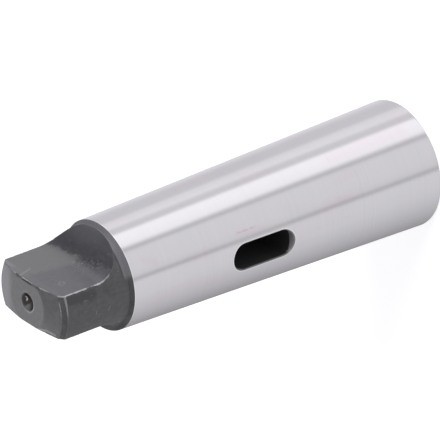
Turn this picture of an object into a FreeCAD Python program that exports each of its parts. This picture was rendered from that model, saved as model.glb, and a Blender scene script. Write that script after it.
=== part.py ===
"""Reducing sleeve for taper shank tools, turned and ground from one piece of steel.

Frame: millimetres. The sleeve stands on its open end, so Z is its axis, Z = 0 is the face of the
open end and the tang points up. The drift slot opens along X and the tang's flats face +Y and -Y.
"""

import FreeCAD, Part

from enum import IntEnum
import math
import os

import Sketcher

NODE = "taper_sleeve"

# Driving dimensions in millimetres and degrees; a taper is the length in which the diameter drops by 1
SIZES = {
    "overall_length": 156.0,
    "gauge_diameter": 44.399,
    "gauge_plane_height": 6.5,
    "shank_taper": 19.002,
    "rim_round": 0.5,
    "tang_end_to_cone": 29.0,
    "collar_bevel": 1.1,
    "tang_diameter": 35.7,
    "tang_thickness": 15.9,
    "tang_flat_length": 16.2,
    "cutter_radius": 11.5,
    "end_face_diameter": 17.6,
    "end_cone_diameter": 32.6,
    "end_cone_length": 1.5,
    "end_bevel_length": 1.5,
    "tang_edge_round": 0.3,
    "centre_mouth_diameter": 6.3,
    "centre_angle": 60.0,
    "centre_pilot_diameter": 2.5,
    "centre_pilot_depth": 3.1,
    "socket_gauge_diameter": 17.78,
    "socket_gauge_depth": 1.0,
    "socket_taper": 20.02,
    "socket_mouth_bevel": 1.0,
    "relief_diameter": 14.9,
    "socket_depth": 67.0,
    "drill_point_angle": 118.0,
    "slot_start": 62.0,
    "slot_length": 24.6,
    "slot_width": 9.4,
    "slot_edge_bevel": 0.4,
}

# Shank: the ground cone, the collar's bevel at its small end and the plain tang above it
FACE_RADIUS = "(sizes.gauge_diameter + sizes.gauge_plane_height / sizes.shank_taper) / 2"
CONE_TOP = "(sizes.overall_length - sizes.tang_end_to_cone)"
CONE_TOP_RADIUS = f"({FACE_RADIUS} - {CONE_TOP} / sizes.shank_taper / 2)"
COLLAR_TOP = f"({CONE_TOP} + sizes.collar_bevel)"
TANG_RADIUS = "(sizes.tang_diameter / 2)"
END_CONE_FOOT = "(sizes.overall_length - sizes.end_cone_length)"
END_CONE_RADIUS = "(sizes.end_cone_diameter / 2)"
END_BEVEL_FOOT = f"({END_CONE_FOOT} - sizes.end_bevel_length)"
END_FACE_RADIUS = "(sizes.end_face_diameter / 2)"

# Tang flats and the hollow that the cutter leaves at their foot
HALF_TANG = "(sizes.tang_thickness / 2)"
FLAT_FOOT = "(sizes.overall_length - sizes.tang_flat_length)"
CUTTER_FOOT = f"({FLAT_FOOT} - sizes.cutter_radius)"
CUTTER_CREST = f"({HALF_TANG} + sizes.cutter_radius)"
CLEAR_OF_SHANK = "sizes.gauge_diameter"
CLEAR_OF_TANG_END = "(sizes.overall_length + sizes.tang_thickness)"

# Centre hole in the end of the tang
CENTRE_MOUTH_RADIUS = "(sizes.centre_mouth_diameter / 2)"
CENTRE_PILOT_RADIUS = "(sizes.centre_pilot_diameter / 2)"
CENTRE_CONE_FOOT = (
    f"(sizes.overall_length - ({CENTRE_MOUTH_RADIUS} - {CENTRE_PILOT_RADIUS})"
    " / tan(sizes.centre_angle * 1 deg / 2))"
)
CENTRE_PILOT_FOOT = f"({CENTRE_CONE_FOOT} - sizes.centre_pilot_depth)"
CENTRE_POINT = f"({CENTRE_PILOT_FOOT} - {CENTRE_PILOT_RADIUS} / tan(sizes.drill_point_angle * 1 deg / 2))"

# Tapered socket, its relief bore and the drill point at its end
SOCKET_FACE_RADIUS = "(sizes.socket_gauge_diameter + sizes.socket_gauge_depth / sizes.socket_taper) / 2"
SOCKET_BEVEL_TOP_RADIUS = f"({SOCKET_FACE_RADIUS} - sizes.socket_mouth_bevel / sizes.socket_taper / 2)"
SOCKET_MOUTH_RADIUS = f"({SOCKET_BEVEL_TOP_RADIUS} + sizes.socket_mouth_bevel)"
RELIEF_RADIUS = "(sizes.relief_diameter / 2)"
RELIEF_START = (
    "(sizes.socket_gauge_depth"
    " + (sizes.socket_gauge_diameter - sizes.relief_diameter) * sizes.socket_taper)"
)
DRILL_POINT = f"(sizes.socket_depth + {RELIEF_RADIUS} / tan(sizes.drill_point_angle * 1 deg / 2))"

# Drift slot
SLOT_RADIUS = "(sizes.slot_width / 2)"
SLOT_LOW_CENTRE = f"(sizes.slot_start + {SLOT_RADIUS})"
SLOT_HIGH_CENTRE = f"(sizes.slot_start + sizes.slot_length - {SLOT_RADIUS})"

# How the sketcher numbers the ends of an element, its own origin and its axes
START, END, CENTRE = IntEnum("Ends", "START END CENTRE")
ORIGIN = (-1, 1)
ACROSS_AXIS, UP_AXIS = -1, -2

# How near a measured place has to be to count as the same place
SAME_PLACE = 1e-4


def make_sheet(doc):
    """Spreadsheet with one row for each driving dimension."""
    sheet = doc.addObject("Spreadsheet::Sheet", "sizes")
    for row, (alias, value) in enumerate(SIZES.items(), start=1):
        sheet.set(f"A{row}", alias)
        sheet.set(f"B{row}", str(value))
        sheet.setAlias(f"B{row}", alias)
    doc.recompute()
    return sheet


def size_of(part, expression):
    """Number that an expression gives with the sheet's present sizes."""
    return float(part.Document.sizes.evalExpression(expression))


def new_sketch(body, name, role):
    """Empty sketch on one of the body's own origin planes."""
    sketch = body.newObject("Sketcher::SketchObject", name)
    plane = next(item for item in body.Origin.OriginFeatures if item.Role == role)
    sketch.AttachmentSupport = [(plane, "")]
    sketch.MapMode = "FlatFace"
    return sketch


def spot(sketch, across, up):
    """Present position of a pair of expressions in the sketch's plane."""
    return FreeCAD.Vector(size_of(sketch, across), size_of(sketch, up), 0)


def hold(sketch, point, across, up):
    """Tie a sketch point to two expressions, or to an axis where one is zero."""
    for kind, expression, axis in (("DistanceX", across, UP_AXIS), ("DistanceY", up, ACROSS_AXIS)):
        if expression == "0":
            sketch.addConstraint(Sketcher.Constraint("PointOnObject", *point, axis))
            continue
        distance = Sketcher.Constraint(kind, *ORIGIN, *point, size_of(sketch, expression))
        index = sketch.addConstraint(distance)
        sketch.setExpression(f"Constraints[{index}]", expression)


def hold_radius(sketch, element, expression):
    """Tie an arc's radius to an expression."""
    index = sketch.addConstraint(Sketcher.Constraint("Radius", element, size_of(sketch, expression)))
    sketch.setExpression(f"Constraints[{index}]", expression)


def closed_outline(sketch, corners):
    """Closed run of straight lines through corners that are pairs of expressions."""
    spots = [spot(sketch, across, up) for across, up in corners]
    lines = [Part.LineSegment(spots[i - 1], spots[i]) for i in range(len(spots))]
    sketch.addGeometry(lines)
    for line, (across, up) in enumerate(corners):
        following = (line + 1) % len(corners)
        sketch.addConstraint(Sketcher.Constraint("Coincident", line, END, following, START))
        hold(sketch, (line, END), across, up)


def turn(body, kind, name, corners):
    """Revolution or Groove of a closed outline round the sleeve's axis."""
    sketch = new_sketch(body, f"{name}_outline", "XZ_Plane")
    closed_outline(sketch, corners)
    feature = body.newObject(f"PartDesign::{kind}", name)
    feature.Profile = sketch
    feature.ReferenceAxis = (sketch, ["V_Axis"])
    feature.Angle = 360.0
    body.Document.recompute()
    return feature


def cut_across(body, name, sketch):
    """Pocket through the whole sleeve along X, to both sides of its sketch."""
    pocket = body.newObject("PartDesign::Pocket", name)
    pocket.Profile = sketch
    pocket.SideType = "Symmetric"
    pocket.Type = "ThroughAll"
    body.Document.recompute()
    return pocket


def turned_blank(body):
    """Outer form, still round all the way to the end of the tang."""
    corners = [
        ("0", "0"),
        (FACE_RADIUS, "0"),
        (CONE_TOP_RADIUS, CONE_TOP),
        (TANG_RADIUS, COLLAR_TOP),
        (TANG_RADIUS, END_BEVEL_FOOT),
        (END_CONE_RADIUS, END_CONE_FOOT),
        (END_FACE_RADIUS, "sizes.overall_length"),
        ("0", "sizes.overall_length"),
    ]
    return turn(body, "Revolution", "turned_blank", corners)


def socket(body):
    """Tapered socket with a bevelled mouth, a relief bore and a drill point."""
    corners = [
        ("0", "0"),
        (SOCKET_MOUTH_RADIUS, "0"),
        (SOCKET_BEVEL_TOP_RADIUS, "sizes.socket_mouth_bevel"),
        (RELIEF_RADIUS, RELIEF_START),
        (RELIEF_RADIUS, "sizes.socket_depth"),
        ("0", DRILL_POINT),
    ]
    return turn(body, "Groove", "socket", corners)


def centre_hole(body):
    """Countersunk centre that the tang end was turned on."""
    corners = [
        ("0", CENTRE_POINT),
        (CENTRE_PILOT_RADIUS, CENTRE_PILOT_FOOT),
        (CENTRE_PILOT_RADIUS, CENTRE_CONE_FOOT),
        (CENTRE_MOUTH_RADIUS, "sizes.overall_length"),
        ("0", "sizes.overall_length"),
    ]
    return turn(body, "Groove", "centre_hole", corners)


def tang_flats(body):
    """Two flats, each running out on the radius of its cutter."""
    sketch = new_sketch(body, "tang_flat_outline", "YZ_Plane")
    flat_top = spot(sketch, HALF_TANG, CLEAR_OF_TANG_END)
    flat_foot = spot(sketch, HALF_TANG, FLAT_FOOT)
    runout = spot(sketch, CUTTER_CREST, CUTTER_FOOT)
    outer_foot = spot(sketch, CLEAR_OF_SHANK, CUTTER_FOOT)
    outer_top = spot(sketch, CLEAR_OF_SHANK, CLEAR_OF_TANG_END)
    radius = size_of(sketch, "sizes.cutter_radius")
    cutter = Part.Circle(spot(sketch, CUTTER_CREST, FLAT_FOOT), FreeCAD.Vector(0, 0, 1), radius)
    flat, hollow, shoulder, outside, top = range(5)
    sketch.addGeometry(
        [
            Part.LineSegment(flat_top, flat_foot),
            Part.ArcOfCircle(cutter, math.pi, math.pi * 1.5),
            Part.LineSegment(runout, outer_foot),
            Part.LineSegment(outer_foot, outer_top),
            Part.LineSegment(outer_top, flat_top),
        ]
    )
    joins = [
        (flat, END, hollow, START),
        (hollow, END, shoulder, START),
        (shoulder, END, outside, START),
        (outside, END, top, START),
        (top, END, flat, START),
    ]
    for join in joins:
        sketch.addConstraint(Sketcher.Constraint("Coincident", *join))
    hold(sketch, (flat, START), HALF_TANG, CLEAR_OF_TANG_END)
    hold(sketch, (hollow, CENTRE), CUTTER_CREST, FLAT_FOOT)
    hold(sketch, (hollow, START), HALF_TANG, FLAT_FOOT)
    sketch.addConstraint(Sketcher.Constraint("Vertical", hollow, CENTRE, hollow, END))
    hold(sketch, (outside, START), CLEAR_OF_SHANK, CUTTER_FOOT)
    hold(sketch, (outside, END), CLEAR_OF_SHANK, CLEAR_OF_TANG_END)
    first = cut_across(body, "tang_flat", sketch)
    pair = body.newObject("PartDesign::Mirrored", "tang_flats")
    pair.Originals = [first]
    pair.MirrorPlane = (sketch, ["V_Axis"])
    body.Tip = pair
    body.Document.recompute()
    return pair


def drift_slot(body):
    """Round-ended slot across the sleeve, where a drift knocks the tool out."""
    sketch = new_sketch(body, "drift_slot_outline", "YZ_Plane")
    low = spot(sketch, "0", SLOT_LOW_CENTRE)
    high = spot(sketch, "0", SLOT_HIGH_CENTRE)
    radius = size_of(sketch, SLOT_RADIUS)
    side = FreeCAD.Vector(radius, 0, 0)
    normal = FreeCAD.Vector(0, 0, 1)
    low_end, right_side, high_end, left_side = range(4)
    sketch.addGeometry(
        [
            Part.ArcOfCircle(Part.Circle(low, normal, radius), math.pi, math.tau),
            Part.LineSegment(low + side, high + side),
            Part.ArcOfCircle(Part.Circle(high, normal, radius), 0, math.pi),
            Part.LineSegment(high - side, low - side),
        ]
    )
    for first in range(4):
        following = (first + 1) % 4
        sketch.addConstraint(Sketcher.Constraint("Tangent", first, END, following, START))
    hold(sketch, (low_end, CENTRE), "0", SLOT_LOW_CENTRE)
    hold(sketch, (high_end, CENTRE), "0", SLOT_HIGH_CENTRE)
    hold_radius(sketch, low_end, SLOT_RADIUS)
    return cut_across(body, "drift_slot", sketch)


def edges_where(shape, test):
    """Names of the edges whose middle point passes a test."""
    names = []
    for number, edge in enumerate(shape.Edges, start=1):
        middle = edge.valueAt((edge.FirstParameter + edge.LastParameter) / 2)
        if test(middle):
            names.append(f"Edge{number}")
    return names


def break_edges(body, kind, name, size_property, size, test):
    """Fillet or Chamfer on the edges of the body so far that pass a test."""
    base = body.Tip
    feature = body.newObject(f"PartDesign::{kind}", name)
    feature.Base = (base, edges_where(base.Shape, test))
    feature.setExpression(size_property, size)
    body.Document.recompute()
    return feature


def slot_edges(body):
    """Bevelled rim of the drift slot where it opens in the ground cone."""
    face_radius = size_of(body, FACE_RADIUS)
    taper = size_of(body, "sizes.shank_taper")
    half_width = size_of(body, SLOT_RADIUS)
    start = size_of(body, "sizes.slot_start")
    length = size_of(body, "sizes.slot_length")

    def on_rim(middle):
        cone_radius = face_radius - middle.z / taper / 2
        on_cone = abs(math.hypot(middle.x, middle.y) - cone_radius) < SAME_PLACE
        across = abs(middle.y) < half_width + SAME_PLACE
        along = start - SAME_PLACE < middle.z < start + length + SAME_PLACE
        return on_cone and across and along

    return break_edges(body, "Chamfer", "slot_edges", "Size", "sizes.slot_edge_bevel", on_rim)


def face_rim(body):
    """Rounded outer rim of the open end."""
    face_radius = size_of(body, FACE_RADIUS)

    def on_rim(middle):
        on_circle = abs(math.hypot(middle.x, middle.y) - face_radius) < SAME_PLACE
        return on_circle and abs(middle.z) < SAME_PLACE

    return break_edges(body, "Fillet", "face_rim", "Radius", "sizes.rim_round", on_rim)


def tang_edges(body):
    """Rounded edges of the two flats, up to where the cutter's hollow starts."""
    half_tang = size_of(body, HALF_TANG)
    foot = size_of(body, FLAT_FOOT)

    def on_flat(middle):
        return abs(abs(middle.y) - half_tang) < SAME_PLACE and middle.z > foot + SAME_PLACE

    return break_edges(body, "Fillet", "tang_edges", "Radius", "sizes.tang_edge_round", on_flat)


def make_sleeve(doc):
    """The whole sleeve as one body, in the order in which it is machined."""
    body = doc.addObject("PartDesign::Body", NODE)
    body.Label = NODE
    body.Placement = FreeCAD.Placement()
    turned_blank(body)
    volume = body.Shape.Volume
    for cut in (socket, centre_hole, tang_flats, drift_slot, slot_edges, face_rim, tang_edges):
        cut(body)
        if body.Shape.Volume >= volume:
            raise RuntimeError(f"{cut.__name__} took nothing off the sleeve")
        volume = body.Shape.Volume
    return body


def check(doc, body):
    """Stop unless every object is sound and the sleeve is one valid solid."""
    doc.recompute()
    for item in doc.Objects:
        if "Invalid" in item.State or "Error" in item.State:
            raise RuntimeError(f"{item.Label} did not build: {item.State}")
    shape = body.Shape
    if shape.isNull() or not shape.isValid() or len(shape.Solids) != 1:
        raise RuntimeError(f"{body.Label} is not one valid solid")


document = FreeCAD.newDocument("sleeve")
make_sheet(document)
sleeve = make_sleeve(document)
check(document, sleeve)
os.makedirs("parts", exist_ok=True)
sleeve.Shape.exportStep(f"parts/{sleeve.Label}.step")
extent = sleeve.Shape.optimalBoundingBox()
print(f"{sleeve.Label}: {sleeve.Shape.Volume:.1f} mm3")
print(f"{extent.XLength:.3f} x {extent.YLength:.3f} x {extent.ZLength:.3f} mm")
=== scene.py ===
"""Looks of the reducing sleeve: its ground cone, its blackened and knocked tang, and the light tent round it.

Frame: metres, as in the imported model. The sleeve stands on its open end, so Z is its axis and Z = 0 is
the face of the open end. The drift slot opens along X and the tang's flats face +Y and -Y.
"""

import math

import bpy
from mathutils import Matrix, Vector


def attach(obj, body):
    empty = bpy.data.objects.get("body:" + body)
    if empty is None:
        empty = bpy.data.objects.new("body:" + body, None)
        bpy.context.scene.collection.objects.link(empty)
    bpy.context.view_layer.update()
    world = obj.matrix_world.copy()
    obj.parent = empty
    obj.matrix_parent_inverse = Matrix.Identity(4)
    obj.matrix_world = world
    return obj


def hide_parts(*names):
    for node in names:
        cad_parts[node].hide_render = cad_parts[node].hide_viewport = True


NODE = "taper_sleeve"
MM = 0.001

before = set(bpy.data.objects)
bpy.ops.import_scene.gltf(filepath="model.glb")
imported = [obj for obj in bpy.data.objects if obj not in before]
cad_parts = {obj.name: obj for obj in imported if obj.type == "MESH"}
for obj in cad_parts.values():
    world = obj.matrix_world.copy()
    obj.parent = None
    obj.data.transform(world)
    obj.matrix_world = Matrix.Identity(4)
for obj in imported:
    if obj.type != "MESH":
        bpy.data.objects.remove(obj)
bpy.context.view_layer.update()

# Outside of the sleeve, in millimetres
LENGTH = 156.0
SHANK_TAPER = 19.002
GAUGE_DIAMETER = 44.399
GAUGE_PLANE_HEIGHT = 6.5
FACE_RADIUS = (GAUGE_DIAMETER + GAUGE_PLANE_HEIGHT / SHANK_TAPER) / 2
RIM_ROUND = 0.5
TANG_END_TO_CONE = 29.0
CONE_TOP = LENGTH - TANG_END_TO_CONE
CONE_BAND_FROM = 1.0
CONE_BAND_TO = CONE_TOP - 0.5
COLLAR_BEVEL = 1.1
TANG_RADIUS = 17.85
END_CONE_RADIUS = 16.3
END_CONE_LENGTH = 1.5
END_BEVEL_LENGTH = 1.5
END_BEVEL_FOOT = LENGTH - END_CONE_LENGTH - END_BEVEL_LENGTH
END_FACE_RADIUS = 8.8
HALF_TANG = 7.95
FLAT_LENGTH = 16.2
FLAT_FOOT = LENGTH - FLAT_LENGTH
CUTTER_RADIUS = 11.5

# Centre hole in the tang's end, and the tapered socket with its relief bore
CENTRE_MOUTH_RADIUS = 3.15
CENTRE_PILOT_RADIUS = 1.25
CENTRE_CONE_DEPTH = (CENTRE_MOUTH_RADIUS - CENTRE_PILOT_RADIUS) / math.tan(math.radians(30))
CENTRE_PILOT_DEPTH = 3.1
DRILL_HALF_ANGLE = math.radians(59)
SOCKET_TAPER = 20.02
SOCKET_GAUGE_DIAMETER = 17.78
SOCKET_GAUGE_DEPTH = 1.0
SOCKET_FACE_RADIUS = (SOCKET_GAUGE_DIAMETER + SOCKET_GAUGE_DEPTH / SOCKET_TAPER) / 2
SOCKET_MOUTH_BEVEL = 1.0
RELIEF_RADIUS = 7.45
SOCKET_DEPTH = 67.0

# Drift slot
SLOT_START = 62.0
SLOT_LENGTH = 24.6
SLOT_RADIUS = 4.7
SLOT_BEVEL = 0.4


class Value:
    """A socket of a node tree: arithmetic on it adds Math nodes, and node() adds any other kind."""

    def __init__(self, tree, socket=None):
        self.tree = tree
        self.socket = socket

    def node(self, kind, sockets=(), output=0, stops=(), **settings):
        """Add a node: its settings first, then the value or the link of each socket."""
        made = self.tree.nodes.new(kind)
        for name, value in settings.items():
            setattr(made, name, value)
        for number, (place, level) in enumerate(stops):
            ramp = made.color_ramp.elements
            stop = ramp[number] if number < len(ramp) and number < 2 else ramp.new(place)
            stop.position = place
            stop.color = (*level, 1) if isinstance(level, tuple) else (level, level, level, 1)
        for name, value in dict(sockets).items():
            for item in value if isinstance(value, list) else [value]:
                if isinstance(item, Value):
                    self.tree.links.new(item.socket, made.inputs[name])
                else:
                    made.inputs[name].default_value = item
        return Value(self.tree, made.outputs[output] if len(made.outputs) else None)

    def __getitem__(self, name):
        """Another output of the node that this socket belongs to."""
        return Value(self.tree, self.socket.node.outputs[name])

    def math(self, operation, *terms):
        return self.node("ShaderNodeMath", dict(enumerate(terms)), operation=operation)

    def __add__(self, other):
        return self.math("ADD", self, other)

    def __radd__(self, other):
        return self.math("ADD", other, self)

    def __sub__(self, other):
        return self.math("SUBTRACT", self, other)

    def __rsub__(self, other):
        return self.math("SUBTRACT", other, self)

    def __mul__(self, other):
        return self.math("MULTIPLY", self, other)

    def __rmul__(self, other):
        return self.math("MULTIPLY", other, self)

    def __truediv__(self, other):
        return self.math("DIVIDE", self, other)

    def __pow__(self, other):
        return self.math("POWER", self, other)

    def __abs__(self):
        return self.math("ABSOLUTE", self)

    def __gt__(self, other):
        return self.math("GREATER_THAN", self, other)

    def __lt__(self, other):
        return self.math("LESS_THAN", self, other)

    def least(self, other):
        return self.math("MINIMUM", self, other)

    def most(self, other):
        return self.math("MAXIMUM", self, other)

    def step(self, low, high):
        """0 below low, 1 above high and a smooth rise between them."""
        sockets = {"Value": self, "From Min": low, "From Max": high}
        return self.node("ShaderNodeMapRange", sockets, interpolation_type="SMOOTHSTEP")


def between(low, high, share):
    return low + (high - low) * share


def link_object(name, data):
    thing = bpy.data.objects.new(name, data)
    bpy.context.scene.collection.objects.link(thing)
    return thing


# How the skin's columns are spread: two runs in each quarter turn, meeting at the edge of a flat
RUN = 28
QUARTER = 2 * RUN
COLUMNS = 4 * QUARTER
CROWDING = 1.5
LAST_EDGE_ANGLE = math.radians(82)
TINY = 1e-4

# Points of the skin that are nearer than this are made one
SEAM = 0.0005

# Rounding of the worn edges, the share of it by which the top edge is also worn down, and the slope at which
# the skin's rows run down the flat behind it
EDGE_WEAR = 0.18
END_WEAR = 0.35
FLAT_LEAN = 0.15

# Knocks out of the flats' edges: how deep, and the heights over which they set in
CHIP_DEPTH = 0.12
CHIPS_FROM = 130.0
CHIPS_FULL = CHIPS_FROM + 2

# The end's side away from +X and +Y is knocked rounder: the heights over which that sets in
KNOCKED_FROM = LENGTH - 7
KNOCKED_FULL = LENGTH - 2.5

# Fineness of the noise that makes the wear uneven, and of the noise that places the knocks
UNEVENNESS_FINENESS = 420.0
CHIP_FINENESS = 900.0

FLAT_INPUTS = ("Half tang", "Flat foot", "Cutter radius", "Edge wear", "Chip depth")
BAND_INPUTS = ("Radius from", "Height from", "Radius to", "Height to", "Arc from", "Arc to")


def new_tree(name, floats, others=()):
    """Empty geometry tree with named number inputs, and the Value of its input node."""
    tree = bpy.data.node_groups.new(name, "GeometryNodeTree")
    for label in floats:
        tree.interface.new_socket(label, in_out="INPUT", socket_type="NodeSocketFloat")
    for label, kind in others:
        tree.interface.new_socket(label, in_out="INPUT", socket_type=kind)
    tree.interface.new_socket("Geometry", in_out="OUTPUT", socket_type="NodeSocketGeometry")
    return Value(tree).node("NodeGroupInput")


def sheet_of_points(start, columns, rows):
    """Flat grid of columns + 1 by rows + 1 points, with each point's column and row."""
    grid = start.node("GeometryNodeMeshGrid", {"Vertices X": columns + 1, "Vertices Y": rows + 1})
    index = start.node("GeometryNodeInputIndex")
    column = (index / (rows + 1)).math("FLOOR", index / (rows + 1))
    return grid, column, index - column * (rows + 1)


def put(start, grid, x, y, z):
    """Move a grid's points to a place that is given by a rule."""
    place = start.node("ShaderNodeCombineXYZ", {"X": x, "Y": y, "Z": z})
    return start.node("GeometryNodeSetPosition", {"Geometry": grid, "Position": place})


def turned_band_tree():
    """Band of the skin between two corners of the turned outline, with the tang's flats cut into it."""
    sizes = new_tree("turned_band", BAND_INPUTS + FLAT_INPUTS, [("Rows", "NodeSocketInt")])
    grid, column, row = sheet_of_points(sizes, COLUMNS, sizes["Rows"])
    share = row / sizes["Rows"]
    arc_from, arc_to = sizes["Arc from"], sizes["Arc to"]
    arc_angle = between(arc_from, arc_to, share)
    sweep = arc_from.math("COSINE", arc_from) - arc_to.math("COSINE", arc_to)
    along_arc = (arc_from.math("COSINE", arc_from) - arc_angle.math("COSINE", arc_angle)) / sweep.most(TINY)
    share = between(share, along_arc, arc_to > 0)
    radius = between(sizes["Radius from"], sizes["Radius to"], share)
    height = between(sizes["Height from"], sizes["Height to"], share)

    cutter = sizes["Cutter radius"]
    below = (sizes["Flat foot"] - height).most(0)
    arc = (cutter * cutter - below * below).most(0)
    flat = sizes["Half tang"] + cutter - arc.math("SQRT", arc) + (below > cutter)
    sine = (flat / radius.most(TINY * MM)).least(1)
    edge = sine.math("ARCSINE", sine).least(LAST_EDGE_ANGLE)

    quarter = column.math("FLOOR", column / QUARTER)
    odd = quarter.math("MODULO", quarter, 2)
    place = between(column - quarter * QUARTER, (quarter + 1) * QUARTER - column, odd) / RUN
    to_edge = (1 - place.least(1)) ** CROWDING
    past_edge = (place - 1).most(0) ** CROWDING
    across = edge.math("COSINE", edge) * (1 - past_edge)
    angle = edge.math("ARCTAN2", edge.math("SINE", edge), across) - edge * to_edge
    turn = (quarter + odd) * (math.pi / 2) + (1 - 2 * odd) * angle
    cosine, sine = turn.math("COSINE", turn), turn.math("SINE", turn)

    to_flat = flat / abs(sine).most(TINY)
    crisp = radius.least(to_flat)
    spot = sizes.node("ShaderNodeCombineXYZ", {"X": crisp * cosine, "Y": crisp * sine, "Z": height})
    uneven = {"Vector": spot, "Scale": UNEVENNESS_FINENESS, "Detail": 2.0}
    unevenness = sizes.node("ShaderNodeTexNoise", uneven)
    chips = sizes.node("ShaderNodeTexNoise", {"Vector": spot, "Scale": CHIP_FINENESS, "Detail": 1.0})
    knocked = 1 - (crisp * (cosine + sine)).step(0, 22 * MM)
    knocked = knocked * height.step(KNOCKED_FROM * MM, KNOCKED_FULL * MM)
    wear = sizes["Edge wear"] * (0.8 + 0.7 * unevenness.step(0.4, 0.7) + 1.4 * knocked)
    inside = to_flat - radius
    on_edge = 1 - abs(inside).step(0.1 * MM, 0.9 * MM)
    above_foot = height.step(CHIPS_FROM * MM, CHIPS_FULL * MM)
    knocks = sizes["Chip depth"] * on_edge * chips.step(0.52, 0.78) * above_foot
    reach = radius.math("SMOOTH_MIN", radius, to_flat, wear) - knocks
    rounded = (1 - inside.most(0) / wear).most(0)
    near_end = height.step((FLAT_FOOT + 1) * MM, (LENGTH - 4) * MM)
    lean = (0 - inside).most(0) * FLAT_LEAN
    lowered = height - (rounded * rounded * wear * END_WEAR + lean) * near_end
    moved = put(sizes, grid, reach * cosine, reach * sine, lowered)
    sizes.node("NodeGroupOutput", {"Geometry": moved})
    return sizes.tree


def rim_arc(steps=5):
    """Corners of the big end's rounded rim, from the face up to the cone."""
    corners = []
    for number in range(1, steps + 1):
        angle = math.pi / 2 * number / steps
        across = FACE_RADIUS - RIM_ROUND * (1 - math.sin(angle))
        up = RIM_ROUND * (1 - math.cos(angle))
        corners.append((across - up / SHANK_TAPER / 2, up, 1, "ground"))
    return corners


def cone_radius(height):
    return FACE_RADIUS - height / SHANK_TAPER / 2


def cutter_angle(height):
    """Angle along the cutter's arc, from its foot, at a height of the run-out."""
    return math.acos((FLAT_FOOT - height) / CUTTER_RADIUS)


def turned_outline():
    """Corners of the turned outline: radius, height, rows up to the corner and the finish of that band.

    Rows written as a negative number follow the cutter's arc.
    """
    socket_end = SOCKET_GAUGE_DEPTH + (SOCKET_GAUGE_DIAMETER - 2 * RELIEF_RADIUS) * SOCKET_TAPER
    drill_point = SOCKET_DEPTH + RELIEF_RADIUS / math.tan(DRILL_HALF_ANGLE)
    pilot_end = LENGTH - CENTRE_CONE_DEPTH - CENTRE_PILOT_DEPTH
    collar_top = CONE_TOP + COLLAR_BEVEL
    cutter_foot = FLAT_FOOT - CUTTER_RADIUS
    corner = 0.12
    return [
        (0, drill_point, 0, "black"),
        (RELIEF_RADIUS, SOCKET_DEPTH, 2, "black"),
        (RELIEF_RADIUS, socket_end, 4, "black"),
        (SOCKET_FACE_RADIUS - SOCKET_MOUTH_BEVEL / SOCKET_TAPER / 2, SOCKET_MOUTH_BEVEL, 6, "ground"),
        (SOCKET_FACE_RADIUS + SOCKET_MOUTH_BEVEL, 0, 1, "ground"),
        (FACE_RADIUS - RIM_ROUND, 0, 3, "ground"),
        *rim_arc(),
        (cone_radius(CONE_BAND_FROM), CONE_BAND_FROM, 1, "ground"),
        (cone_radius(CONE_BAND_TO), CONE_BAND_TO, 12, "ground"),
        (cone_radius(CONE_TOP - corner), CONE_TOP - corner, 1, "ground"),
        (cone_radius(CONE_TOP) - corner / 2, CONE_TOP + corner / 2, 1, "black"),
        (TANG_RADIUS + corner, collar_top - corner, 3, "black"),
        (TANG_RADIUS, collar_top + corner / 2, 1, "black"),
        (TANG_RADIUS, cutter_foot + 0.1, 1, "black"),
        (TANG_RADIUS, cutter_foot + 0.45, -9, "black"),
        (TANG_RADIUS, FLAT_FOOT, -30, "black"),
        (TANG_RADIUS, END_BEVEL_FOOT - corner, 26, "black"),
        (TANG_RADIUS - corner, END_BEVEL_FOOT + corner, 1, "black"),
        (END_CONE_RADIUS + corner, LENGTH - END_CONE_LENGTH - corner, 4, "black"),
        (END_CONE_RADIUS - corner, LENGTH - END_CONE_LENGTH + corner / 4, 1, "black"),
        (END_FACE_RADIUS, LENGTH, 20, "black"),
        (HALF_TANG, LENGTH, 4, "black"),
        (CENTRE_MOUTH_RADIUS + corner, LENGTH, 8, "black"),
        (CENTRE_MOUTH_RADIUS - corner / 2, LENGTH - corner, 1, "black"),
        (CENTRE_PILOT_RADIUS, LENGTH - CENTRE_CONE_DEPTH, 4, "black"),
        (CENTRE_PILOT_RADIUS, pilot_end, 2, "black"),
        (0, pilot_end - CENTRE_PILOT_RADIUS / math.tan(DRILL_HALF_ANGLE), 2, "black"),
    ]


HALF_CIRCLE_STEPS = 14
SLOT_POINTS = 2 * (HALF_CIRCLE_STEPS + 1)


def slot_plug(sizes, low_offset, high_offset, low_x, high_x):
    """Closed plug of the slot's outline along X, between two ends that may differ in size."""
    grid, column, row = sheet_of_points(sizes, SLOT_POINTS, 3)
    point = column.math("MODULO", column, SLOT_POINTS)
    half = point.math("FLOOR", point / (HALF_CIRCLE_STEPS + 1))
    angle = (point - half * (HALF_CIRCLE_STEPS + 1)) * (math.pi / HALF_CIRCLE_STEPS) + half * math.pi
    high = row > 1.5
    whole = row.least(3 - row)
    radius = sizes["Slot radius"] + between(low_offset, high_offset, high)
    straight = sizes["Slot length"] / 2 - sizes["Slot radius"]
    across = whole * radius * angle.math("COSINE", angle)
    up = whole * (straight * (1 - 2 * half) + radius * angle.math("SINE", angle))
    height = sizes["Slot start"] + sizes["Slot length"] / 2 + up
    x = between(low_x(across, height), high_x(across, height), high)
    return put(sizes, grid, x, across, height)


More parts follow.
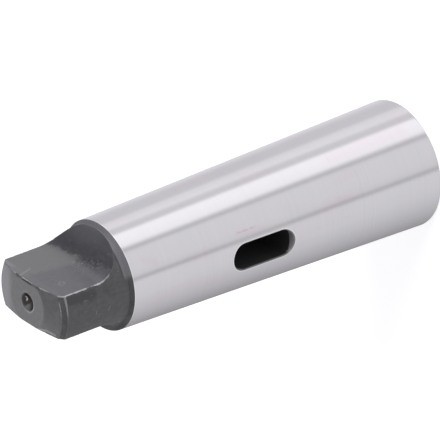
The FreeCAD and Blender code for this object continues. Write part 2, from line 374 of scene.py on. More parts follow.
def sleeve_tree(finishes):
    """The whole sleeve: bands of skin along the turned outline, then the drift slot and its bevels."""
    slot_inputs = ("Slot start", "Slot length", "Slot radius", "Slot bevel")
    sizes = new_tree("sleeve_form", FLAT_INPUTS + slot_inputs)
    band_tree = turned_band_tree()
    skin = []
    outline = turned_outline()
    for (radius, height, _, _), (next_radius, next_height, rows, finish) in zip(outline, outline[1:]):
        arc = [cutter_angle(height), cutter_angle(next_height)] if rows < 0 else [0.0, 0.0]
        corners = [radius * MM, height * MM, next_radius * MM, next_height * MM, *arc]
        sockets = dict(zip(BAND_INPUTS, corners))
        sockets.update({name: sizes[name] for name in FLAT_INPUTS})
        sockets["Rows"] = abs(rows)
        band = sizes.tree.nodes.new("GeometryNodeGroup")
        band.node_tree = band_tree
        for name, value in sockets.items():
            if isinstance(value, Value):
                sizes.tree.links.new(value.socket, band.inputs[name])
            else:
                band.inputs[name].default_value = value
        skin.append(mark(sizes, Value(sizes.tree, band.outputs[0]), finish))
    blank = sizes.node("GeometryNodeJoinGeometry", {"Geometry": skin})
    blank = merged(sizes, blank)

    def on_cone(across, height):
        reach = FACE_RADIUS * MM - height / (2 * SHANK_TAPER)
        square = reach * reach - across * across
        return square.math("SQRT", square)

    margin = 0.6 * MM
    bevel = sizes["Slot bevel"]
    plug = slot_plug(sizes, 0, 0, lambda y, z: -2 * FACE_RADIUS * MM, lambda y, z: 2 * FACE_RADIUS * MM)
    flare = slot_plug(
        sizes,
        -margin,
        bevel + margin,
        lambda y, z: on_cone(y, z) - bevel - margin,
        lambda y, z: on_cone(y, z) + margin,
    )
    flare = mark(sizes, merged(sizes, flare), "black")
    far_flare = sizes.node("GeometryNodeTransform", {"Geometry": flare, "Rotation": (0, 0, math.pi)})
    plug = mark(sizes, merged(sizes, plug), "black")
    sockets = {"Mesh 1": blank, "Mesh 2": [plug, flare, far_flare]}
    cut = sizes.node("GeometryNodeMeshBoolean", sockets, operation="DIFFERENCE", solver="EXACT")
    whole = sizes.node("GeometryNodeRealizeInstances", {"Geometry": cut})
    finish = sizes.node("GeometryNodeInputNamedAttribute", {"Name": "finish"}, data_type="INT")
    for number, material in enumerate(finishes.values()):
        chosen = finish.math("COMPARE", finish, number, 0.5)
        sockets = {"Geometry": whole, "Selection": chosen, "Material": material}
        whole = sizes.node("GeometryNodeSetMaterial", sockets)
    sizes.node("NodeGroupOutput", {"Geometry": whole})
    return sizes.tree


def merged(sizes, geometry):
    return sizes.node("GeometryNodeMergeByDistance", {"Geometry": geometry, "Distance": SEAM * MM})


FINISHES = ("ground", "black")


def mark(sizes, geometry, finish):
    """Note on each face which finish it has."""
    sockets = {"Geometry": geometry, "Name": "finish", "Value": FINISHES.index(finish)}
    return sizes.node("GeometryNodeStoreNamedAttribute", sockets, data_type="INT", domain="FACE")


def grown(name, tree, sizes):
    """Object with the plain mesh that a geometry tree makes with these sizes."""
    piece = link_object(name, bpy.data.meshes.new(name))
    modifier = piece.modifiers.new("form", "NODES")
    modifier.node_group = tree
    for item in tree.interface.items_tree:
        if item.in_out == "INPUT":
            modifier[item.identifier] = sizes[item.name]
    evaluated = piece.evaluated_get(bpy.context.evaluated_depsgraph_get())
    mesh = bpy.data.meshes.new_from_object(evaluated)
    piece.modifiers.clear()
    if mesh.materials[0] is None:
        mesh.materials.pop(index=0)
    piece.data = mesh
    return piece


SHARP_ANGLE = math.radians(28)


def shade(piece):
    """Smooth shading with sharp corners, and the cone's own normals on the ground cone."""
    mesh = piece.data
    mesh.shade_smooth()
    mesh.set_sharp_from_angle(angle=SHARP_ANGLE)
    normals = [corner.vector.copy() for corner in mesh.corner_normals]
    slope = 1 / (2 * SHANK_TAPER)
    for face in mesh.polygons:
        centre = face.center / MM
        off_cone = abs(math.hypot(centre.x, centre.y) - cone_radius(centre.z))
        outward = Vector((centre.x, centre.y, 0)).normalized()
        in_band = CONE_BAND_FROM <= centre.z <= CONE_BAND_TO and off_cone < 0.3
        if in_band and face.normal.dot(outward) > 0.99:
            for corner in face.loop_indices:
                point = mesh.vertices[mesh.loops[corner].vertex_index].co
                rise = slope * math.hypot(point.x, point.y)
                normals[corner] = Vector((point.x, point.y, rise)).normalized()
    mesh.normals_split_custom_set(normals)


# Colours of bare steel and of the oxide, linear
STEEL = (0.70, 0.698, 0.70)
BRIGHT_LINE = (0.95, 0.95, 0.95)
OXIDE = (0.018, 0.0175, 0.0185)
OXIDE_LIGHT = (0.062, 0.0615, 0.064)
WORN_STEEL = (0.60, 0.59, 0.61)


def new_material(name):
    """Material with only an output, the Value that nodes start from and the output node."""
    material = bpy.data.materials.new(name)
    material.use_nodes = True
    material.node_tree.nodes.clear()
    start = Value(material.node_tree)
    output = material.node_tree.nodes.new("ShaderNodeOutputMaterial")
    return material, start, output


def blend(share, first, second):
    """Blend of two colours, written or made by nodes, by a share from 0 to 1."""
    made = share.tree.nodes.new("ShaderNodeMix")
    made.data_type = "RGBA"
    for place, value in ((0, share), (6, first), (7, second)):
        if isinstance(value, Value):
            share.tree.links.new(value.socket, made.inputs[place])
        else:
            made.inputs[place].default_value = (*value, 1)
    return Value(share.tree, made.outputs[2])


class Surface:
    """Where a point of the sleeve's skin is, in millimetres, as Values of one material."""

    def __init__(self, start):
        place = start.node("ShaderNodeTexCoord")["Object"]
        place = start.node("ShaderNodeVectorMath", {0: place, "Scale": 1 / MM}, operation="SCALE")
        split = start.node("ShaderNodeSeparateXYZ", {0: place["Vector"]})
        self.x, self.y, self.z = split["X"], split["Y"], split["Z"]
        square = self.x * self.x + self.y * self.y
        self.radius = square.math("SQRT", square)
        self.turn = self.y.math("ARCTAN2", self.y, self.x)

    def grain(self, x=1.0, y=1.0, z=1.0, detail=3.0, seed=0.0):
        """Noise with its own fineness along each axis, in grains per millimetre."""
        sockets = {"X": self.x * x + seed, "Y": self.y * y, "Z": self.z * z}
        spot = self.x.node("ShaderNodeCombineXYZ", sockets)
        return self.x.node("ShaderNodeTexNoise", {"Vector": spot, "Scale": 1.0, "Detail": detail})

    def rings(self, fineness):
        """Turning marks: noise that changes only with the radius and the height."""
        sockets = {"X": self.radius * fineness, "Z": self.z * fineness}
        spot = self.x.node("ShaderNodeCombineXYZ", sockets)
        return self.x.node("ShaderNodeTexNoise", {"Vector": spot, "Scale": 1.0, "Detail": 2.0})


def off_line(across, up, start, end):
    """How far a point of a plane is from the straight line between two points."""
    run, rise = end[0] - start[0], end[1] - start[1]
    share = ((across - start[0]) * run + (up - start[1]) * rise) / (run * run + rise * rise)
    share = share.most(0).least(1)
    off_across = across - start[0] - share * run
    off_up = up - start[1] - share * rise
    square = off_across * off_across + off_up * off_up
    return square.math("SQRT", square)


def near(across, up, line, full, none):
    """1 up to the distance full from a line, and 0 from the distance none on."""
    return 1 - off_line(across, up, *line).step(full, none)


# Marks on the cone's slot side, as (Y, Z) places: pinkish smears, and a thin reddish rub beside the slot
SMEARS = (
    ((8.6, 84.0), (7.6, 73.5)),
    ((10.2, 121.0), (8.9, 117.0)),
    ((8.4, 43.0), (8.0, 38.5)),
    ((18.5, 40.0), (19.3, 8.0)),
)
RUB = ((8.8, 84.0), (8.9, 76.5))
SMEAR_COLOUR = (0.71, 0.655, 0.68)
RUB_COLOUR = (0.50, 0.43, 0.46)


def ground_steel():
    """Cylindrically ground and hardened steel: bright, with fine lines round it."""
    material, start, output = new_material("ground_steel")
    skin = Surface(start)
    front = skin.x > 0
    blush = skin.grain(0.16, 0.16, 0.035, detail=2.0, seed=11.0).step(0.5, 0.72) * 0.5
    for mark_line in SMEARS:
        blush = blush.most(near(skin.y, skin.z, mark_line, 0.3, 1.8) * front * 0.7)
    tint = blend(blush, STEEL, SMEAR_COLOUR)
    rub = near(skin.y, skin.z, RUB, 0.05, 0.5)
    tint = blend(rub * front * skin.grain(2, 2, 1).step(0.35, 0.65) * 0.5, tint, RUB_COLOUR)
    lines = skin.rings(9.0)
    grind = between(0.97, 1.03, lines.step(0.3, 0.7))
    ends = ((0, SLOT_START + SLOT_RADIUS), (0, SLOT_START + SLOT_LENGTH - SLOT_RADIUS))
    off_slot = off_line(skin.y, skin.z, *ends) - SLOT_RADIUS - SLOT_BEVEL
    # Bright line by the slot's bevel and at the cone's top: a polished edge, whose near-white colour is also
    # a painted highlight
    polished_edge_and_highlight = (1 - off_slot.step(0.1, 0.45)).most(skin.z.step(CONE_TOP - 0.6, CONE_TOP - 0.2))
    tint = blend(polished_edge_and_highlight * 0.6, tint, BRIGHT_LINE)
    tint = start.node("ShaderNodeVectorMath", {0: tint, "Scale": grind}, operation="SCALE")["Vector"]
    sockets = {"Base Color": tint, "Metallic": 1.0, "Roughness": between(0.13, 0.17, lines)}
    shader = start.node("ShaderNodeBsdfPrincipled", sockets)
    start.tree.links.new(shader.socket, output.inputs["Surface"])
    return material


# Marks on the +Y flat of the tang, as (X, Z) places
SCRATCH = ((-4.2, 155.6), (-5.7, 150.6))
SCUFFED = ((1.0, 136.5), (8.0, 134.0))
DENT = ((-5.3, 156.0), (6.5, 156.0))
RING_MARK = (8.4, 148.2)
RING_RADIUS = 0.85

# Nicks on the tang's turned side, as (arc, Z) places, and the sooty patch below the flat's near edge
NICKS = (
    ((-1.7, 141.6), (-0.4, 141.5)),
    ((-1.8, 136.7), (-0.6, 136.1)),
    ((4.4, 146.0), (4.5, 145.3)),
    ((-9.6, 131.0), (-10.2, 130.2)),
)
SOOT = ((6.6, 151.5), (5.2, 142.5))
# The soot's dark colour also paints shade, as noted where it is used
SOOT_AND_SHADE_COLOUR = (0.007, 0.0065, 0.008)
RUSTY_COLOUR = (0.046, 0.044, 0.037)

# Where the edge of the end's underside is rubbed, as (X, Y) places
RUBBED_FOOT = (((5.6, -7.6), (9.6, -6.6)), ((9.6, -6.6), (13.0, -6.9)))

# Wear of the flats' edges by height: the least at their foot, then what each rise adds, as (from, to, more)
LOWEST_WEAR = 0.12
WEAR_RISES = ((130.0, 132.0, 0.2), (133.6, 135.5, 0.15), (136.0, 138.5, 0.53))

# Bare steel along edges: how wide it is at least and how much wider it can be, and where it shows most on
# the edges of the +Y flat, as (X, Z) places
LEAST_WEAR_WIDTH = 0.06
WEAR_WIDTH = 0.26
CHAFED = (
    ((16.2, 153.4), (15.0, 154.6)),
    ((15.9, 152.8), (15.9, 150.2)),
    ((15.9, 148.6), (15.9, 146.8)),
    ((15.9, 145.6), (15.9, 144.6)),
    ((15.8, 140.4), (15.8, 137.9)),
    ((15.9, 137.2), (15.4, 134.8)),
    ((12.3, 155.9), (6.9, 156.0)),
    ((2.0, 155.8), (-2.2, 155.8)),
    ((-7.0, 156.0), (-12.5, 155.7)),
)
BARE_CORNER = ((16.0, 153.5), (14.4, 155.1))

# Heights between which the collar beside the cone is painted paler on its lit side, as a painted reflection
STRIP = (126.8, 129.3)

# Heights over which shades on the tang end: the foot of the hollows, the hollows, and the painted shade in
# the -Y hollow and on the turned side next to it
HOLLOW_FOOT = (129.0, 133.0)
HOLLOW_END = (134.9, 136.3)
HOLLOW_SHADE_END = (133.0, 137.0)
SIDE_SHADE_END = (131.0, 135.0)

# Up to which height the tang has light rings, and where the slanting border between the +Y flat's halves,
# which get different painted sheen, crosses its middle
LIGHT_RINGS_TO = 150.0
HALVES_HEIGHT = 145.0

# Colours on the black steel, linear: the oxide's own, and greys that paint sheen, reflection, light and shade
PAINTED_LIGHT_GREY = (0.165, 0.164, 0.163)
PALE_GREY = (0.155, 0.152, 0.168)
END_TINT_AND_SHEEN = (0.25, 0.245, 0.262)
HOLLOW_COLOUR = (0.051, 0.054, 0.068)
SLOT_WALL_LIGHT_COLOUR = (0.25, 0.24, 0.25)
BORE_SHADE_COLOUR = (0.004, 0.004, 0.004)
HOLE_COLOUR = (0.020, 0.016, 0.013)
HOLE_REFLECTION_COLOUR = (0.13, 0.127, 0.123)
GLINT_COLOUR = (0.95, 0.90, 0.82)

# A painted reflection and a painted glint on the centre hole's wall, as (X, Y) places, and a burr on the
# slot's mouth, as (Y, Z)
HOLE_REFLECTION_PLACE = ((-1.2, -2.3), (0.2, -2.9))
HOLE_GLINT = ((-2.35, 0.7), (-2.2, -0.8))
SLOT_BURR = ((-3.2, 63.3), (-3.9, 64.3))

# Width of the bright rim at the slot's lower and upper side, and how deep the painted light on its low wall
# goes
SLOT_RIM = 0.14
UPPER_SLOT_RIM = 0.42
SLOT_WALL_DEPTH = 3.0

# Height of the bumps, the dent's depth in those bumps, and the oxide's index of refraction
RELIEF = 0.015
DENT_DEPTH = 7
OXIDE_IOR = 1.8

# Added to the flat's distance where the cutter didn't reach, so that no flat is near
OUT_OF_REACH = 100


class TangSurface(Surface):
    """Surface that also knows how far a point is from the tang's edges, and which face it is on."""

    def __init__(self, start):
        super().__init__(start)
        below = (FLAT_FOOT - self.z).most(0)
        arc = (CUTTER_RADIUS * CUTTER_RADIUS - below * below).most(0)
        flat = HALF_TANG + CUTTER_RADIUS - arc.math("SQRT", arc) + OUT_OF_REACH * (below > CUTTER_RADIUS)
        end_cone = LENGTH - (self.radius - END_FACE_RADIUS).most(0) * (
            END_CONE_LENGTH / (END_CONE_RADIUS - END_FACE_RADIUS)
        )
        end_bevel = LENGTH - END_CONE_LENGTH - (self.radius - END_CONE_RADIUS) * (
            END_BEVEL_LENGTH / (TANG_RADIUS - END_CONE_RADIUS)
        )
        off_end = end_cone.least(end_bevel) - self.z
        inward = TANG_RADIUS - self.radius
        self.off_flat = (flat - abs(self.y)).most(0)
        self.off_turned = inward.least(off_end).most(0)
        self.off_corner = abs(self.z - END_BEVEL_FOOT) + inward.most(0)
        self.off_ring = abs(self.radius - END_CONE_RADIUS) + abs(self.z - LENGTH + END_CONE_LENGTH)
        self.off_cone = FACE_RADIUS - self.z / (2 * SHANK_TAPER) - self.radius
        self.arc_place = self.turn * TANG_RADIUS

        self.on_tang = self.z > CONE_TOP
        self.on_top = (self.y > HALF_TANG - 0.4) * self.on_tang
        self.past_corner = self.z > END_BEVEL_FOOT
        self.on_end = (off_end < self.off_flat.most(inward.most(0))) * self.past_corner
        self.milled = (self.off_flat < self.off_turned) * self.on_tang
        self.in_hole = (self.radius < CENTRE_MOUTH_RADIUS - 0.02) * self.on_tang
        self.at_slot = (self.z > SLOT_START - 2) * (self.z < SLOT_START + SLOT_LENGTH + 2)

        self.coarse = self.grain(0.35, 0.35, 0.35, detail=4.0)
        self.fine = self.grain(2.2, 2.2, 2.2, detail=3.0, seed=7.0)
        self.mottle = self.grain(0.5, 0.5, 0.5, detail=5.0, seed=3.0)
        self.blotches = self.grain(0.9, 0.9, 0.35, detail=4.0, seed=19.0)
        self.streaks = self.grain(3.0, 1.0, 1.0, detail=2.0, seed=23.0)
        self.turned = self.rings(3.0).step(0.3, 0.7)
        self.scuffed = near(self.x, self.z, SCUFFED, 0.8, 3.2) * self.on_top
        dent = near(self.x, self.z, DENT, 0.25, 0.7) * self.y.step(HALF_TANG - 1.0, HALF_TANG - 0.6)
        dent = dent * (1 - self.y.step(HALF_TANG - 0.25, HALF_TANG - 0.05))
        self.dent = dent * (1 - 0.6 * abs(self.x).step(2, 3.4))


def bare_edges(skin):
    """Where the oxide is worn off along the tang's edges, from 0 to 1."""
    fine = skin.fine
    rubbed = skin.coarse.step(0.5, 0.7) * fine.step(0.35, 0.6) * 0.5
    for line in CHAFED:
        rubbed = rubbed.most(near(skin.x, skin.z, line, 0.3, 1.1) * skin.on_top * fine.step(0.25, 0.45))
    by_height = LOWEST_WEAR
    for low, high, more in WEAR_RISES:
        by_height = by_height + more * skin.z.step(low, high)
    width = LEAST_WEAR_WIDTH + WEAR_WIDTH * rubbed * (0.4 + fine.step(0.3, 0.65))
    off_edge = skin.off_flat.most(skin.off_turned)
    worn = (1 - (off_edge / width).step(0.6, 1.2)) * by_height * (0.35 + 0.65 * rubbed)

    upper_side = between(0.2, 0.75, skin.turn.step(0.02, 0.16)) * (skin.x > 2) * (skin.turn > -0.5)
    nearer_edge = skin.off_corner / between(1, 1.6, skin.turn.step(0.2, 0.36))
    worn = worn.most((1 - nearer_edge.step(0.1, 0.42)) * upper_side * fine.step(0.25, 0.55))
    bare_corner = near(skin.x, skin.z, BARE_CORNER, 0.15, 0.75)
    worn = worn.most(bare_corner * skin.on_top * fine.step(0.2, 0.5) * 0.7)
    ring_line = upper_side * (1 - skin.turn.step(0.33, 0.4)) * fine.step(0.3, 0.6)
    return worn.most((1 - skin.off_ring.step(0.1, 0.38)) * ring_line * 0.8)


def marks_of_use(skin, worn):
    """Adds the scratch, the ring mark, the nicks, the rubs and the specks to the bare places."""
    fine = skin.fine
    worn = worn.most(near(skin.x, skin.z, SCRATCH, 0.08, 0.5) * skin.on_top * 0.22)
    ring_end = (RING_MARK[0] + 0.5, RING_MARK[1] + 0.5)
    from_mark = off_line(skin.x, skin.z, RING_MARK, ring_end)
    ring = 1 - abs(from_mark - RING_RADIUS).step(0.1, 0.5)
    worn = worn.most(ring * skin.on_top * fine.step(0.3, 0.6) * 0.2)
    off_nick = off_line(skin.arc_place, skin.z, *NICKS[0])
    for nick in NICKS[1:]:
        off_nick = off_nick.least(off_line(skin.arc_place, skin.z, *nick))
    worn = worn.most((1 - off_nick.step(0.05, 0.4)) * skin.on_tang * 0.2)
    for foot in RUBBED_FOOT:
        rub = near(skin.x, skin.y, foot, 0.05, 0.65) * skin.past_corner
        worn = worn.most(rub * fine.step(0.2, 0.55) * 0.45)
    rings_of_light = skin.grain(0.12, 0.12, 2.2, detail=2.0, seed=41.0).step(0.6, 0.75)
    rings_of_light = rings_of_light * (skin.z < LIGHT_RINGS_TO)
    worn = worn.most(rings_of_light * skin.on_tang * skin.coarse.step(0.42, 0.6) * 0.07)
    specks = skin.grain(1.6, 1.6, 1.6, detail=1.0, seed=31.0).step(0.72, 0.8)
    worn = worn.most(specks * 0.25)
    return worn.most(skin.scuffed * skin.streaks.step(0.54, 0.68) * 0.28)


def bare_slot_rim(skin, worn):
    """Adds the bright line round the slot's mouth and the burr on it."""
    slot_rim = between(SLOT_RIM, UPPER_SLOT_RIM, skin.y.step(2.5, 4.5))
    worn = worn.most((1 - (skin.off_cone / slot_rim).step(0.6, 1)) * skin.at_slot)
    burr = near(skin.y, skin.z, SLOT_BURR, 0.1, 0.45) * (skin.x > 0) * (skin.off_cone < 1.1)
    return worn.most(burr * skin.at_slot * 0.35)


def tang_oxide(skin, painted_side_shade, painted_hollow_shade):
    """Colour of the oxide on the tang and the collar, with painted sheen, reflection and shade worked in."""
    mottle, fine = skin.mottle, skin.fine
    lightness = mottle.step(0.32, 0.68) * 0.45 + skin.blotches.step(0.38, 0.62) * 0.35 + skin.turned * 0.2
    oxide = blend(lightness, OXIDE, OXIDE_LIGHT)
    rusty = skin.grain(0.22, 0.22, 0.3, detail=3.0, seed=53.0).step(0.5, 0.68)
    oxide = blend(rusty * 0.35, oxide, RUSTY_COLOUR)

    ragged = skin.z + 0.12 * (skin.x + 8) + (mottle - 0.5) * 4 + (fine - 0.5) * 2
    hollow = skin.milled * (1 - ragged.step(*HOLLOW_END))
    oxide = blend(hollow * 0.55, oxide, HOLLOW_COLOUR)
    hollow_foot = skin.milled * (1 - skin.z.step(*HOLLOW_FOOT)) * (0.18 - 0.12 * skin.x.step(1, 7))
    oxide = blend(hollow_foot, oxide, PALE_GREY)
    # Painted sheen: the +Y flat is made paler, more on its left half than on its right
    right_half = (skin.x + (mottle - 0.5) * 5 + (skin.z - HALVES_HEIGHT) * 0.15).step(-2.5, 1.5)
    flat_sheen = skin.milled * (1 - hollow) * (skin.y > 0)
    oxide = blend(flat_sheen * (1 - right_half) * 0.68, oxide, PAINTED_LIGHT_GREY)
    oxide = blend(flat_sheen * right_half * 0.42, oxide, PALE_GREY)
    # The end gets a faint tint all over and, towards -X, a painted sheen that makes it much paler
    oxide = blend(skin.on_end * (0.08 + 0.42 * (1 - skin.x.step(-12, -8.5))), oxide, END_TINT_AND_SHEEN)

    soot = 1 - (off_line(skin.arc_place, skin.z, *SOOT) + (mottle - 0.5) * 3).step(0.8, 2.6)
    soot = soot * (skin.y < HALF_TANG - 0.1) * skin.on_tang
    # Soot on the near side, and painted shade on the -Y hollow and on the turned side beside it
    oxide = blend((soot * 0.95).most((painted_side_shade * skin.on_tang).most(painted_hollow_shade) * 0.85), oxide, SOOT_AND_SHADE_COLOUR)
    # Painted reflection: the collar's strip beside the cone is made paler on the side that faces the light,
    # with a painted dark line above it
    lit_side = skin.turn.step(0.32, 0.44) * (1 - skin.turn.step(2.1, 2.4))
    strip = (1 - skin.z.step(STRIP[1] - 0.15, STRIP[1] + 0.1)) * (skin.z > STRIP[0])
    strip = strip * lit_side * (1 - skin.milled)
    oxide = blend(strip * between(0.75, 1.1, fine), oxide, PALE_GREY)
    painted_shade_line = (1 - abs(skin.z - STRIP[1] - 0.4).step(0.1, 0.4)) * (1 - skin.milled)
    smudged = skin.scuffed * (1 - skin.streaks.step(0.34, 0.46))
    return blend((painted_shade_line * lit_side).most(skin.dent).most(smudged) * 0.7, oxide, SOOT_AND_SHADE_COLOUR)


def opening_oxide(skin, oxide, inside):
    """Colour of the oxide in the slot, in the bore and in the centre hole, with painted light, shade and
    reflection, over the rest.
    """
    # Painted light: the slot's walls near the mouth are made pale as if lit, the low wall down to a painted
    # shadow's edge
    taper_in = 1 - ((skin.z - SLOT_START) / 3.5).most(0) ** 2 - 0.12 * (0 - skin.y).most(0)
    low_wall = (1 - (skin.off_cone - SLOT_WALL_DEPTH * taper_in.most(0)).step(-0.3, 0)) * skin.at_slot
    low_wall = low_wall * (skin.z < SLOT_START + 4)
    high_end = skin.z.step(SLOT_START + SLOT_LENGTH - 5, SLOT_START + SLOT_LENGTH - 2)
    mouth_depth = SLOT_BEVEL + 0.5 + high_end * 1.4
    mouth_wall = (1 - (skin.off_cone - mouth_depth).step(-0.5, 0)) * skin.at_slot * 0.6
    # Painted shade: the oxide deeper in the slot and in the bore is made near black
    oxide = blend(inside * 0.9, oxide, BORE_SHADE_COLOUR)
    oxide = blend(mouth_wall, oxide, PAINTED_LIGHT_GREY)
    oxide = blend(low_wall, oxide, SLOT_WALL_LIGHT_COLOUR)
    # Painted reflection: a pale patch on the centre hole's wall
    hole_reflection = near(skin.x, skin.y, HOLE_REFLECTION_PLACE, 0.15, 0.8)
    hole = blend(hole_reflection * (0.6 + 0.4 * skin.blotches), HOLE_COLOUR, HOLE_REFLECTION_COLOUR)
    return blend(skin.in_hole * 0.95, oxide, hole)


def black_oxide():
    """Milled and turned steel with a black oxide finish, knocked bright along its edges, and with painted
    light and shade.
    """
    material, start, output = new_material("black_oxide")
    skin = TangSurface(start)
    worn = bare_slot_rim(skin, marks_of_use(skin, bare_edges(skin))) * (1 - skin.dent)

    # Painted shade: the -Y hollow and the turned side next to it are made dark, and duller
    ragged = skin.z + (skin.mottle - 0.5) * 4
    painted_hollow_shade = skin.milled * (skin.y < 0) * (1 - ragged.step(*HOLLOW_SHADE_END))
    painted_side_shade = (1 - skin.turn.step(-0.8, -0.45)) * (1 - skin.z.step(*SIDE_SHADE_END)) * skin.x.step(0, 6)
    # Deeper than the slot's mouth, and the bore: where the painted shade goes
    inside = (skin.off_cone > 0.5) * (1 - skin.on_tang)
    oxide = opening_oxide(skin, tang_oxide(skin, painted_side_shade, painted_hollow_shade), inside)

    # The centre hole's rim: bare steel, brighter towards +X and -Y as a painted highlight
    rim = 1 - abs(skin.radius - CENTRE_MOUTH_RADIUS - 0.25).step(0.1, 0.55)
    highlight_side = (skin.x - skin.y).step(0, 4)
    rim = rim * (skin.z > LENGTH - 0.5) * (0.08 + 0.3 * highlight_side)
    worn = worn.most(rim * (0.6 + 0.4 * skin.fine.step(0.35, 0.6)))
    # Painted glint inside the centre hole
    glint = skin.in_hole * near(skin.x, skin.y, HOLE_GLINT, 0.02, 0.25)
    glint = glint * (0.4 + 0.6 * skin.fine.step(0.4, 0.6))
    tint = blend(glint, blend(worn, oxide, WORN_STEEL), GLINT_COLOUR)
    relief = skin.turned * 0.4 + skin.fine * 0.5 + skin.blotches - skin.dent * DENT_DEPTH
    bump = start.node("ShaderNodeBump", {"Height": relief, "Strength": 1.0, "Distance": RELIEF * MM})
    dull = painted_side_shade.most(painted_hollow_shade).most(skin.dent)
    sockets = {
        "Base Color": tint,
        "Metallic": worn * 0.8 * (1 - skin.in_hole),
        "Roughness": between(0.26, 0.38, skin.mottle) + worn * 0.1 + inside * 0.5 + dull * 0.3,
        "Normal": bump,
        "IOR": OXIDE_IOR,
    }
    shader = start.node("ShaderNodeBsdfPrincipled", sockets)
    start.tree.links.new(shader.socket, output.inputs["Surface"])
    return material


# Light tent: how bright its wall is in each direction round the sleeve, in degrees from the camera's side
TENT_WALL = [
    (-180, 0.04),
    (-174, 0.14),
    (-164, 0.34),
    (-140, 0.46),
    (-116, 0.60),
    (-90, 0.74),
    (-70, 0.82),
    (-48, 0.86),
    (-37.5, 0.87),
    (-34.5, 0.60),
    (-30, 0.60),
    (-27, 0.82),
    (-14, 0.87),
    (0, 0.88),
    (22, 0.90),
    (26, 0.66),
    (30, 0.66),
    (36, 1.20),
    (63, 1.30),
    (68, 0.80),
    (79, 0.84),
    (83, 1.04),
    (100, 0.96),
    (106, 0.78),
    (128, 0.76),
    (146, 0.82),
    (160, 0.84),
    (173, 0.80),
    (178, 0.40),
]

# The same for the roof, and how bright it is overhead
TENT_ROOF = [
    (-180, 1.35),
    (-166, 1.20),
    (-140, 0.80),
    (-110, 0.50),
    (-60, 0.35),
    (30, 0.35),
    (48, 0.90),
    (70, 0.90),
    (88, 0.22),
    (158, 0.22),
    (170, 1.10),
]
OVERHEAD = 0.55

# The tent's cloth is a little cold
TENT_TINT = (1.0, 0.982, 1.03)


def wall_ramp(share, stops):
    """Brightness by the share of a turn, from half brightnesses, because a ramp's colours end at 1."""
    halves = [(angle / 360 + 0.5, level / 2) for angle, level in stops]
    return 2 * share.node("ShaderNodeValToRGB", {0: share}, stops=halves)


def light_tent(camera_azimuth):
    """World: white for the camera, and for all else a pale tent with brighter and darker walls."""
    world = bpy.data.worlds.new("light_tent")
    world.use_nodes = True
    world.node_tree.nodes.clear()
    bpy.context.scene.world = world
    start = Value(world.node_tree)
    direction = start.node("ShaderNodeTexCoord")["Generated"]
    split = start.node("ShaderNodeSeparateXYZ", {0: direction})
    azimuth = split.math("ARCTAN2", split["Y"], split["X"]) * (180 / math.pi) - camera_azimuth
    share = azimuth.math("FRACT", azimuth / 360 + 0.5 + 1)
    wall, roof = wall_ramp(share, TENT_WALL), wall_ramp(share, TENT_ROOF)
    roof = between(roof, OVERHEAD, split["Z"].step(0.5, 0.85))
    behind = abs(share - 0.5).step(0.43, 0.48)
    low_corner = share.step(0.012, 0.025) * (1 - share.step(0.1, 0.14))
    hem = between(-0.14, 0.08, behind) + 0.2 * low_corner
    level = between(wall, roof, (split["Z"] - hem).step(-0.05, 0.07))
    seen = start.node("ShaderNodeLightPath")["Is Camera Ray"]
    cloth = start.node("ShaderNodeVectorMath", {0: TENT_TINT, "Scale": level}, operation="SCALE")["Vector"]
    colour = blend(seen, cloth, (1, 1, 1))
    background = start.node("ShaderNodeBackground", {"Color": colour, "Strength": 1.0})
    start.node("ShaderNodeOutputWorld", {"Surface": background})


FLOOR_HALF = 3.0
FLOOR_PAINT = (0.8, 0.8, 0.8, 1)
FLOOR_GLOW = 0.58
FLOOR_BOUNCE = (0.7, 0.7, 0.7, 1)


def floor():
    """White floor that keeps the sleeve's shadow and isn't in the sleeve's reflections."""
    mesh = bpy.data.meshes.new("floor")
    corners = [(x * FLOOR_HALF, y * FLOOR_HALF, 0) for x, y in ((-1, -1), (1, -1), (1, 1), (-1, 1))]
    mesh.from_pydata(corners, [], [(0, 1, 2, 3)])
    ground = link_object("floor", mesh)
    material, start, output = new_material("floor_white")
    paint = start.node("ShaderNodeBsdfDiffuse", {"Color": FLOOR_PAINT})
    glow = start.node("ShaderNodeEmission", {"Color": (1, 1, 1, 1), "Strength": FLOOR_GLOW})
    lit = start.node("ShaderNodeAddShader", {0: paint, 1: glow})
    bounce = start.node("ShaderNodeBsdfDiffuse", {"Color": FLOOR_BOUNCE})
    seen = start.node("ShaderNodeLightPath")["Is Camera Ray"]
    mixed = start.node("ShaderNodeMixShader", {0: seen, 1: bounce, 2: lit})
    start.tree.links.new(mixed.socket, output.inputs["Surface"])
    mesh.materials.append(material)
    ground.visible_glossy = False


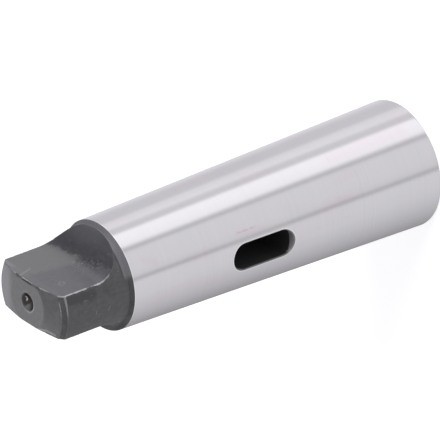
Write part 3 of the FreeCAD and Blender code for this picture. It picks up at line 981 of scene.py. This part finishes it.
def lamp(name, place, aim, size, power):
    """Soft square lamp that lights but isn't seen in the sleeve."""
    data = bpy.data.lights.new(name, "AREA")
    data.size = size
    data.energy = power
    thing = link_object(name, data)
    thing.location = place
    thing.rotation_euler = (Vector(aim) - Vector(place)).to_track_quat("-Z", "Y").to_euler()
    thing.visible_glossy = False
    thing.visible_camera = False


KEY_PLACE = (0.1, 0.9, 0.9)
KEY_AIM = (0, 0, 0.1)
KEY_SIZE = 0.6
KEY_WATTS = 6.0

CAMERA_PLACE = Vector((1.188293, 0.816526, 1.013336))
CAMERA_AIM = Vector((-0.03084, -0.01741, 0.05266))
CAMERA_ROLL = math.radians(110.504)
CAMERA_LENS = 425.65
SENSOR = 36.0


def camera():
    """Long lens at the photograph's angle, rolled so that the sleeve points down to the left."""
    data = bpy.data.cameras.new("camera")
    data.lens = CAMERA_LENS
    data.sensor_width = SENSOR
    data.clip_end = 100.0
    thing = link_object("camera", data)
    back = (CAMERA_PLACE - CAMERA_AIM).normalized()
    level = Vector((0, 0, 1)).cross(back).normalized()
    basis = Matrix((level, back.cross(level), back)).transposed()
    thing.matrix_world = Matrix.Translation(CAMERA_PLACE) @ (
        basis @ Matrix.Rotation(-CAMERA_ROLL, 3, "Z")
    ).to_4x4()
    bpy.context.scene.camera = thing
    return math.degrees(math.atan2(back.y, back.x))


bpy.context.scene.view_settings.view_transform = "Standard"
camera_azimuth = camera()
light_tent(camera_azimuth)
floor()
lamp("key_lamp", KEY_PLACE, KEY_AIM, KEY_SIZE, KEY_WATTS)

finishes = {"ground": ground_steel(), "black": black_oxide()}
sleeve_sizes = {
    "Half tang": HALF_TANG * MM,
    "Flat foot": FLAT_FOOT * MM,
    "Cutter radius": CUTTER_RADIUS * MM,
    "Edge wear": EDGE_WEAR * MM,
    "Chip depth": CHIP_DEPTH * MM,
    "Slot start": SLOT_START * MM,
    "Slot length": SLOT_LENGTH * MM,
    "Slot radius": SLOT_RADIUS * MM,
    "Slot bevel": SLOT_BEVEL * MM,
}
sleeve = grown("sleeve", sleeve_tree(finishes), sleeve_sizes)
shade(sleeve)
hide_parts(NODE)
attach(sleeve, "root")
